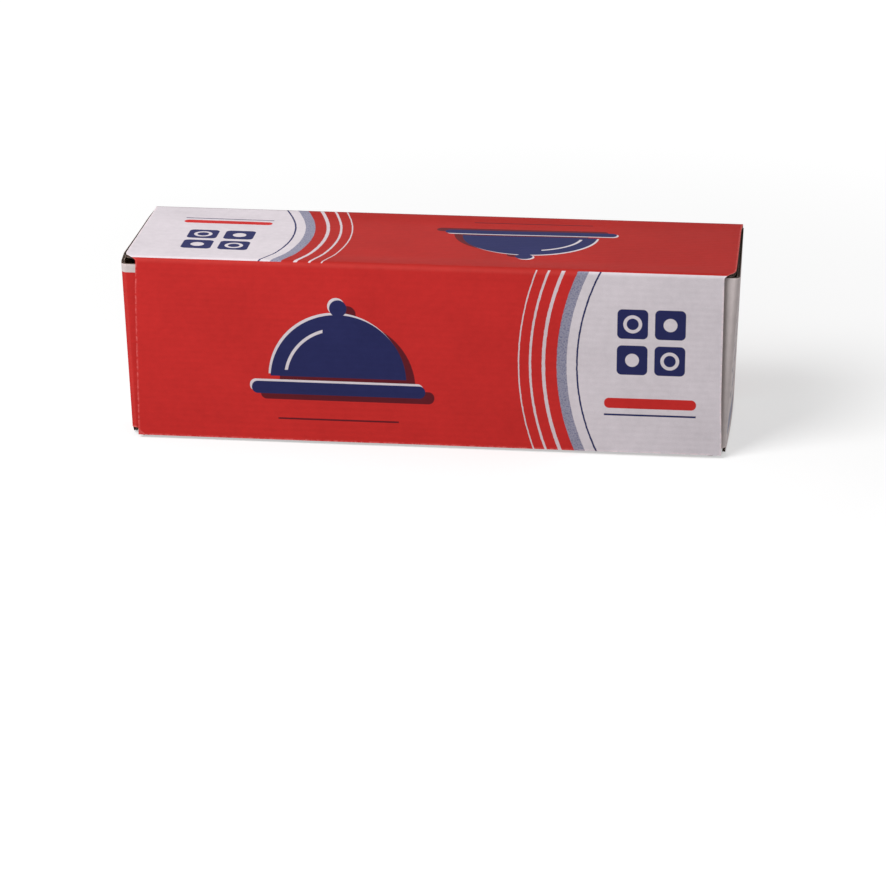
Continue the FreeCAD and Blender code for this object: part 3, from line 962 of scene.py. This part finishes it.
def end_art(s, a, b, left):
    """End panel, seen from outside: white with plain boxes and short bars. On the left
    end the front's red runs on."""
    red_width = 65.0
    row = 13.6
    middle = row / 2
    first_row = 23.5
    rows_middle = 50.7
    rows_half = 27.1
    colour = s.mix(fill(red_width - a) * left, BARE_WHITE_WITH_RED_BOUNCE, RED)
    colour = s.mix(fill(INK_TOP - b), colour, BARE_WHITE_WITH_RED_BOUNCE)
    lifted = b - first_row
    cell = lifted - (lifted / row).math("FLOOR") * row
    keep = fill(abs(b - rows_middle) - rows_half, 0.2)
    frame_line = abs(bar(a, cell, 42.0, middle, 19.0, 5.4, 0.6)) - 0.25
    mark = bar(a, cell, 14.0, middle, 5.5, 0.9, 0.8)
    note = bar(a, cell, 40.0, middle, 13.0, 0.9, 0.8)
    colour = s.mix(fill(frame_line) * keep, colour, SLATE)
    colour = s.mix(fill(mark.low(note)) * keep, colour, NAVY)
    label = bar(a, b, 36.0, 13.0, 26.0, 5.0, 4.6)
    return s.mix(fill(label), colour, SLATE)


def printed(name, art):
    """A printed liner: ink with mottle, washboard, fibres, rubbed places and lighter flecks along
    the raw edges. art gives the colour and where the print is rubbed, or None."""
    s = Surface(name)
    u, v, _ = s.axes("Print")
    rim = s.axes("Rim")[0]
    place = s.place()
    mottle = s.noise(place, 0.22, 4.0, 0.6)
    fine = s.noise(place, 1.6, 3.0, 0.6)
    speckle = (s.noise(place, 1.1, 2.0, 0.7) * 5.0 - 2.3).clamp()
    wobble = s.noise(place, 0.4, 2.0) - 0.5
    colour, wear = art(s, u, v, speckle, wobble)
    cloud = s.noise(place, 0.022, 2.0)
    tone = (cloud - 0.5) * 0.26 + (mottle - 0.5) * 0.2 + (fine - 0.5) * 0.14
    shade = tone + 1.0
    shades = s.node("ShaderNodeCombineColor")
    for channel in shades.inputs[:3]:
        feed(s.tree, channel, shade)
    colour = s.mix(1.0, colour, shades.outputs[0], "MULTIPLY")
    if wear is not None:
        rub = (wear * (fine * 2.6 - 0.75)).clamp() * 0.3
        colour = s.mix(rub, colour, RUBBED)
    # Lighter flecks within about a millimetre of the raw edges
    flecks = (s.noise(place, 0.45, 3.0, 0.6) * 4.0 - 1.5).clamp()
    edge = ((1.1 - rim) / 0.7).clamp() * flecks
    colour = s.mix(edge, colour, FLECK, "ADD")
    s.set("Base Color", colour)
    s.set("Roughness", fine * 0.16 + 0.44)
    s.set("Specular IOR Level", 0.02)
    washboard = (v * (2 * math.pi / FLUTE)).math("SINE")
    s.raise_by(washboard, 0.000012)
    s.raise_by(fine, 0.00003)
    return s.material


def lid_art(s, u, v, speckle, wobble):
    """Top panel and front flap: the top's red is painted darker as shade, with a painted highlight
    below the fold and painted shade along the rear crease.
    """
    _, y, z = s.axes()
    on_top = fill(98.6 - z, 2.4)
    # Painted shade: the top panel takes the darker red
    red = s.mix(on_top, RED, SHADED_TOP_RED)
    # Painted highlight: a lighter red band just below the fold, where the rounded fold catches the
    # light
    fold_highlight = fill(abs(z - 98.0) - 0.9, 1.6) * fill(y - FLAP - CREASE, 0.6)
    red = s.mix(fold_highlight * 0.16, red, FOLD_HIGHLIGHT_RED)
    colour = main_art(s, u, v, speckle, wobble, red)
    # Painted shade along the lid's rear crease
    rear = fill(BACK - 1.9 - y, 0.5) * on_top
    return s.mix(rear * 0.6, colour, FOLD_SHADE), None


def front_ink(s, x, b):
    """Colours of the front panel behind the flap: red, with white beside and above."""
    front = s.mix(fill(INK_SIDE - x), RED, BARE_WHITE_WITH_RED_BOUNCE)
    return s.mix(fill(INK_TOP - b), front, BARE_WHITE_WITH_RED_BOUNCE)


def front_art(s, u, v, speckle, wobble):
    """Front panel and ends: u runs round the corners, 0 in the middle of the front."""
    end_width = 95.0
    front_end = 159.5
    side = (abs(u) - front_end).high(0.0)
    right = fill(u * -1.0, 1.0)
    across = side * right + (end_width - side) * (1.0 - right)
    ends = end_art(s, across, v, 1.0 - right)
    colour = s.mix(fill(front_end - abs(u), 0.3), front_ink(s, u, v), ends)
    corner = (1.0 - abs(abs(u) - 158.6) / 1.6).clamp() * 0.15
    foot = ((1.6 - v) / 1.2).clamp() * 0.6
    return colour, corner.high(foot)


def back_art(s, u, v, speckle, wobble):
    """Back panel and dust flaps: the large panel's print, and white on the flaps."""
    colour = main_art(s, FLAP_END - u, v, speckle, wobble)
    colour = s.mix(fill(156.5 - abs(u), 0.3), colour, WHITE)
    corner = (1.0 - abs(abs(u) - 157.0) / 2.0).clamp()
    fold = ((v - 96.6) / 1.2).clamp()
    foot = ((2.6 - v) / 1.6).clamp()
    return colour, corner.high(fold).high(foot)


def plain_art(s, u, v, speckle, wobble):
    """Bottom panel: bare white, with the front panel's ink running round the crease."""
    x, y, z = s.axes()
    bare = s.mix(speckle * 0.05, BARE_WHITE_WITH_RED_BOUNCE, linear((170, 160, 150)))
    round_front = fill(y - FRONT - 1.0, 0.5)
    return s.mix(round_front, bare, front_ink(s, x, z)), None


def inside_liner():
    """Brown inner liner: fibres, specks and the flutes showing through."""
    s = Surface("kraft_liner")
    v = s.axes("Print")[1]
    place = s.place()
    long = s.place(scale=(250, 1400, 1000))
    cloud = s.noise(place, 0.12, 4.0)
    fibre = s.noise(long, 0.9, 4.0, 0.7)
    specks = (s.noise(place, 2.4, 2.0, 0.8) * 9.0 - 5.9).clamp()
    colour = s.mix((cloud * 1.4 - 0.2).clamp(), linear((168, 132, 96)), linear((190, 154, 116)))
    colour = s.mix((fibre * 1.6 - 0.5).clamp() * 0.5, colour, linear((150, 114, 80)))
    colour = s.mix(specks * 0.5, colour, linear((110, 80, 56)))
    s.set("Base Color", colour)
    s.set("Roughness", fibre * 0.1 + 0.78)
    s.set("Specular IOR Level", 0.2)
    s.raise_by((v * (2 * math.pi / FLUTE)).math("SINE"), 0.00003)
    s.raise_by(fibre, 0.00004)
    return s.material


def cut_edge_paper():
    """Cut thickness of the board: light liners, darker medium, torn fibres."""
    s = Surface("board_cut")
    v = s.axes("Print")[1]
    fibre = s.noise(s.place(), 2.2, 4.0, 0.7)
    lines = s.noise(s.place(scale=(300, 2600, 1000)), 1.0, 3.0, 0.6)
    colour = s.mix((lines * 2.4 - 0.8).clamp(), linear((92, 76, 68)), linear((142, 124, 112)))
    outer = (1.0 - v / 0.3).clamp()
    colour = s.mix(outer, colour, linear((188, 178, 172)))
    colour = s.mix((fibre * 2.0 - 0.9).clamp() * 0.4, colour, linear((70, 46, 38)))
    s.set("Base Color", colour)
    s.set("Roughness", fibre * 0.1 + 0.82)
    s.set("Specular IOR Level", 0.15)
    s.raise_by(fibre, 0.00006)
    return s.material


def flute_paper():
    """The medium and the inner sides of the liners, seen in the flute openings."""
    s = Surface("flute_medium")
    fibre = s.noise(s.place(), 1.8, 4.0, 0.7)
    colour = s.mix((fibre * 1.8 - 0.4).clamp(), linear((66, 50, 42)), linear((112, 90, 74)))
    s.set("Base Color", colour)
    s.set("Roughness", fibre * 0.1 + 0.85)
    s.set("Specular IOR Level", 0.1)
    s.raise_by(fibre, 0.00006)
    return s.material


def round_the_roll(y, z):
    """Radius and angle about the roll's axis."""
    dy = y - ROLL_Y
    dz = z - ROLL_Z
    return (dy * dy + dz * dz).math("SQRT"), dy.math("ARCTAN2", dz)


def foil_metal(name, dark, light):
    """Satin aluminium: fine lines round the roll, and the edges of its turns on the ends."""
    s = Surface(name)
    x, y, z = s.axes()
    radius, angle = round_the_roll(y, z)
    spot = s.node("ShaderNodeCombineXYZ")
    for channel, value in zip(spot.inputs, (x * 0.9, radius * 5.0, angle * 0.35)):
        feed(s.tree, channel, value)
    lines = s.noise(spot.outputs[0], 1.0, 4.0, 0.65)
    cloud = s.noise(s.place("Object"), 0.02, 3.0)
    colour = s.mix((lines * 1.5 - 0.25).clamp(), linear(dark), linear(light))
    ends = fill(FOIL_END - 0.8 - abs(x), 0.3)
    colour = s.mix(ends * (lines * 2.0 - 0.6).clamp() * 0.5, colour, linear((150, 152, 156)))
    s.set("Base Color", colour)
    s.set("Metallic", 1.0)
    dents = s.noise(s.place("Object"), 0.07, 3.0, 0.6)
    s.set("Roughness", lines * 0.14 + cloud * 0.12 + 0.33)
    s.raise_by(lines, 0.00003)
    s.raise_by(dents, 0.0005)
    s.raise_by(cloud, 0.0006)
    return s.material


def core_paper():
    """Paperboard tube: spiral plies with butted seams, fibres and a darker bore."""
    s = Surface("core_paper")
    ply_pitch = 76.0
    x, y, z = s.axes()
    radius, angle = round_the_roll(y, z)
    ply = (x / ply_pitch + angle / (2 * math.pi)).math("FRACT")
    seam = fill(abs(ply - 0.5) * ply_pitch - 0.5, 0.4)
    place = s.place("Object")
    fibre = s.noise(place, 1.1, 4.0, 0.7)
    cloud = s.noise(place, 0.09, 3.0)
    colour = s.mix((cloud * 1.5 - 0.25).clamp(), linear((150, 118, 84)), linear((176, 142, 104)))
    colour = s.mix((fibre * 1.8 - 0.6).clamp() * 0.4, colour, linear((126, 96, 68)))
    plies = ((radius * 3.2).math("SINE") * 0.5 + 0.5) * fill(FOIL_END - abs(x), 0.2)
    colour = s.mix(plies * 0.5, colour, linear((104, 78, 54)))
    colour = s.mix(seam * 0.55, colour, linear((96, 72, 50)))
    s.set("Base Color", colour)
    s.set("Roughness", fibre * 0.1 + 0.78)
    s.set("Specular IOR Level", 0.15)
    s.raise_by(fibre, 0.00006)
    s.raise_by(1.0 - seam, 0.0001)
    return s.material


def strip_metal():
    """Thin cutter steel: rolled along its length, brighter where it was punched."""
    s = Surface("cutter_steel")
    tooth_top = 3.4
    z = s.axes()[2]
    rolled = s.noise(s.place("Object", (40, 1000, 3000)), 1.0, 4.0, 0.7)
    patch = s.noise(s.place("Object"), 0.05, 3.0)
    colour = s.mix((rolled * 1.6 - 0.3).clamp(), linear((168, 170, 174)), linear((204, 206, 210)))
    tooth = fill(z - tooth_top, 0.8)
    colour = s.mix(tooth * 0.5, colour, linear((226, 228, 232)))
    s.set("Base Color", colour)
    s.set("Metallic", 1.0)
    s.set("Roughness", rolled * 0.14 + patch * 0.16 + 0.2)
    s.raise_by(rolled, 0.00002)
    return s.material


# The pieces

liner = inside_liner()
cut = cut_edge_paper()
flutes = flute_paper()
lid_print = printed("lid_print", lid_art)
front_print = printed("front_and_end_print", front_art)
back_print = printed("back_print", back_art)
plain = printed("plain_white_liner", plain_art)

lid_board().build("lid_top_and_flap", (lid_print, liner, cut, flutes), "lid", "board", "carton_lid")
tray_front_and_ends().build(
    "tray_front_and_ends", (front_print, liner, cut, flutes), "carton", "board", "carton_tray"
)
tray_back_and_dust().build(
    "tray_back_and_dust_flaps", (back_print, liner, cut, flutes), "carton", "board", "carton_tray"
)
tray_bottom().build(
    "tray_bottom_and_flaps", (plain, liner, cut, flutes), "carton", "board", "carton_tray"
)

crease = crease_liner().build("crease_liner", (liner, liner, cut, flutes), None, "board")
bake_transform(crease)
wound = foil_metal("wound_foil", (126, 129, 136), (194, 196, 202))
free_end = foil_metal("free_end_foil", (150, 153, 158), (216, 218, 222))
foil_winding().build("foil_winding", (wound,), "roll", "foil", "foil_roll", sharp=60)
foil_tail().build("foil_tail", (free_end, free_end, wound), "roll", "foil", sharp=60)
for name, material in (("core_tube", core_paper()), ("cutter_strip", strip_metal())):
    piece = bpy.data.objects[name]
    for place in piece.material_slots:
        place.material = material


# Stage, light and camera, in metres

def as_seen(tree):
    """1 for rays from the camera, off gloss or through glass, and 0 for the others."""
    path = tree.nodes.new("ShaderNodeLightPath")
    seen = Value(tree, path.outputs["Is Camera Ray"])
    seen = seen.high(Value(tree, path.outputs["Is Glossy Ray"]))
    return seen.high(Value(tree, path.outputs["Is Transmission Ray"]))


def stage_floor():
    """Pale floor. The camera sees it white, with the object's shadow near its middle."""
    half = 8.0
    height = -0.0002
    # Where the white begins, measured from the object's middle, and how wide it fades in
    fade_start = 0.25
    fade_width = 0.6
    corners = [(-half, -half), (half, -half), (half, half), (-half, half)]
    mesh = bpy.data.meshes.new("floor")
    mesh.from_pydata([(x, y, height) for x, y in corners], [], [(0, 1, 2, 3)])
    s = Surface("floor_white")
    x, y, _ = s.axes("Object", (1, 1, 1))
    far = (((x * x + y * y).math("SQRT") - fade_start) / fade_width).clamp()
    seen = as_seen(s.tree)
    grain = s.noise(s.place("Object", (1, 1, 1)), 3.0) * 0.02
    lit = s.mix(grain, gray(0.35), gray(0.33))
    shown = s.mix(far, gray(0.6), gray(0.35))
    s.set("Base Color", s.mix(seen, lit, shown))
    s.set("Roughness", 0.9)
    s.set("Specular IOR Level", 0.0)
    s.set("Emission Color", gray(1.0))
    s.set("Emission Strength", seen * (far * 0.4 + 0.5))
    mesh.materials.append(s.material)
    floor = bpy.data.objects.new("floor", mesh)
    scene.collection.objects.link(floor)


def studio_world():
    """Weak white light all round, which the camera sees as full white."""
    light = 0.28
    world = bpy.data.worlds.new("studio")
    scene.world = world
    world.use_nodes = True
    tree = world.node_tree
    tree.nodes.clear()
    background = tree.nodes.new("ShaderNodeBackground")
    background.inputs["Color"].default_value = gray(1.0)
    feed(tree, background.inputs["Strength"], as_seen(tree) * (1.0 - light) + light)
    out = tree.nodes.new("ShaderNodeOutputWorld")
    tree.links.new(background.outputs[0], out.inputs[0])


def area_lamp(name, place, target, size, level):
    """A square lamp. level is how bright a white surface facing it would render."""
    lamp = bpy.data.lights.new(name, "AREA")
    lamp.shape = "SQUARE"
    lamp.size = size
    offset = Vector(place) - Vector(target)
    lamp.energy = level * math.pi * math.pi * offset.length_squared
    item = bpy.data.objects.new(name, lamp)
    item.location = place
    item.rotation_mode = "QUATERNION"
    item.rotation_quaternion = offset.to_track_quat("Z", "Y")
    scene.collection.objects.link(item)


def photo_camera():
    """The photograph's viewing angle: angles in degrees, lens in millimetres."""
    place = (0.2060, -1.9132, 0.6517)
    azimuth, elevation, roll = (math.radians(v) for v in (6.07, 19.09, 0.106))
    data = bpy.data.cameras.new("camera")
    data.sensor_width = 36.0
    data.lens = 152.9
    data.clip_start = 0.05
    data.clip_end = 50.0
    level = math.cos(elevation)
    forward = Vector(
        (-math.sin(azimuth) * level, math.cos(azimuth) * level, -math.sin(elevation))
    )
    flat_right = forward.cross(Vector((0, 0, 1))).normalized()
    flat_up = flat_right.cross(forward)
    right = flat_right * math.cos(roll) + flat_up * math.sin(roll)
    up = flat_up * math.cos(roll) - flat_right * math.sin(roll)
    camera = bpy.data.objects.new("camera", data)
    camera.rotation_mode = "QUATERNION"
    camera.rotation_quaternion = Matrix((right, up, -forward)).transposed().to_quaternion()
    camera.location = place
    scene.collection.objects.link(camera)
    scene.camera = camera


stage_floor()
studio_world()
area_lamp("key_lamp", (-0.62, -0.8, 1.07), (0.0, 0.0, 0.05), 0.8, 0.86)
area_lamp("side_fill", (1.9, 0.3, 0.6), (0.0, 0.0, 0.05), 1.4, 0.18)
photo_camera()
scene.view_settings.view_transform = "Standard"
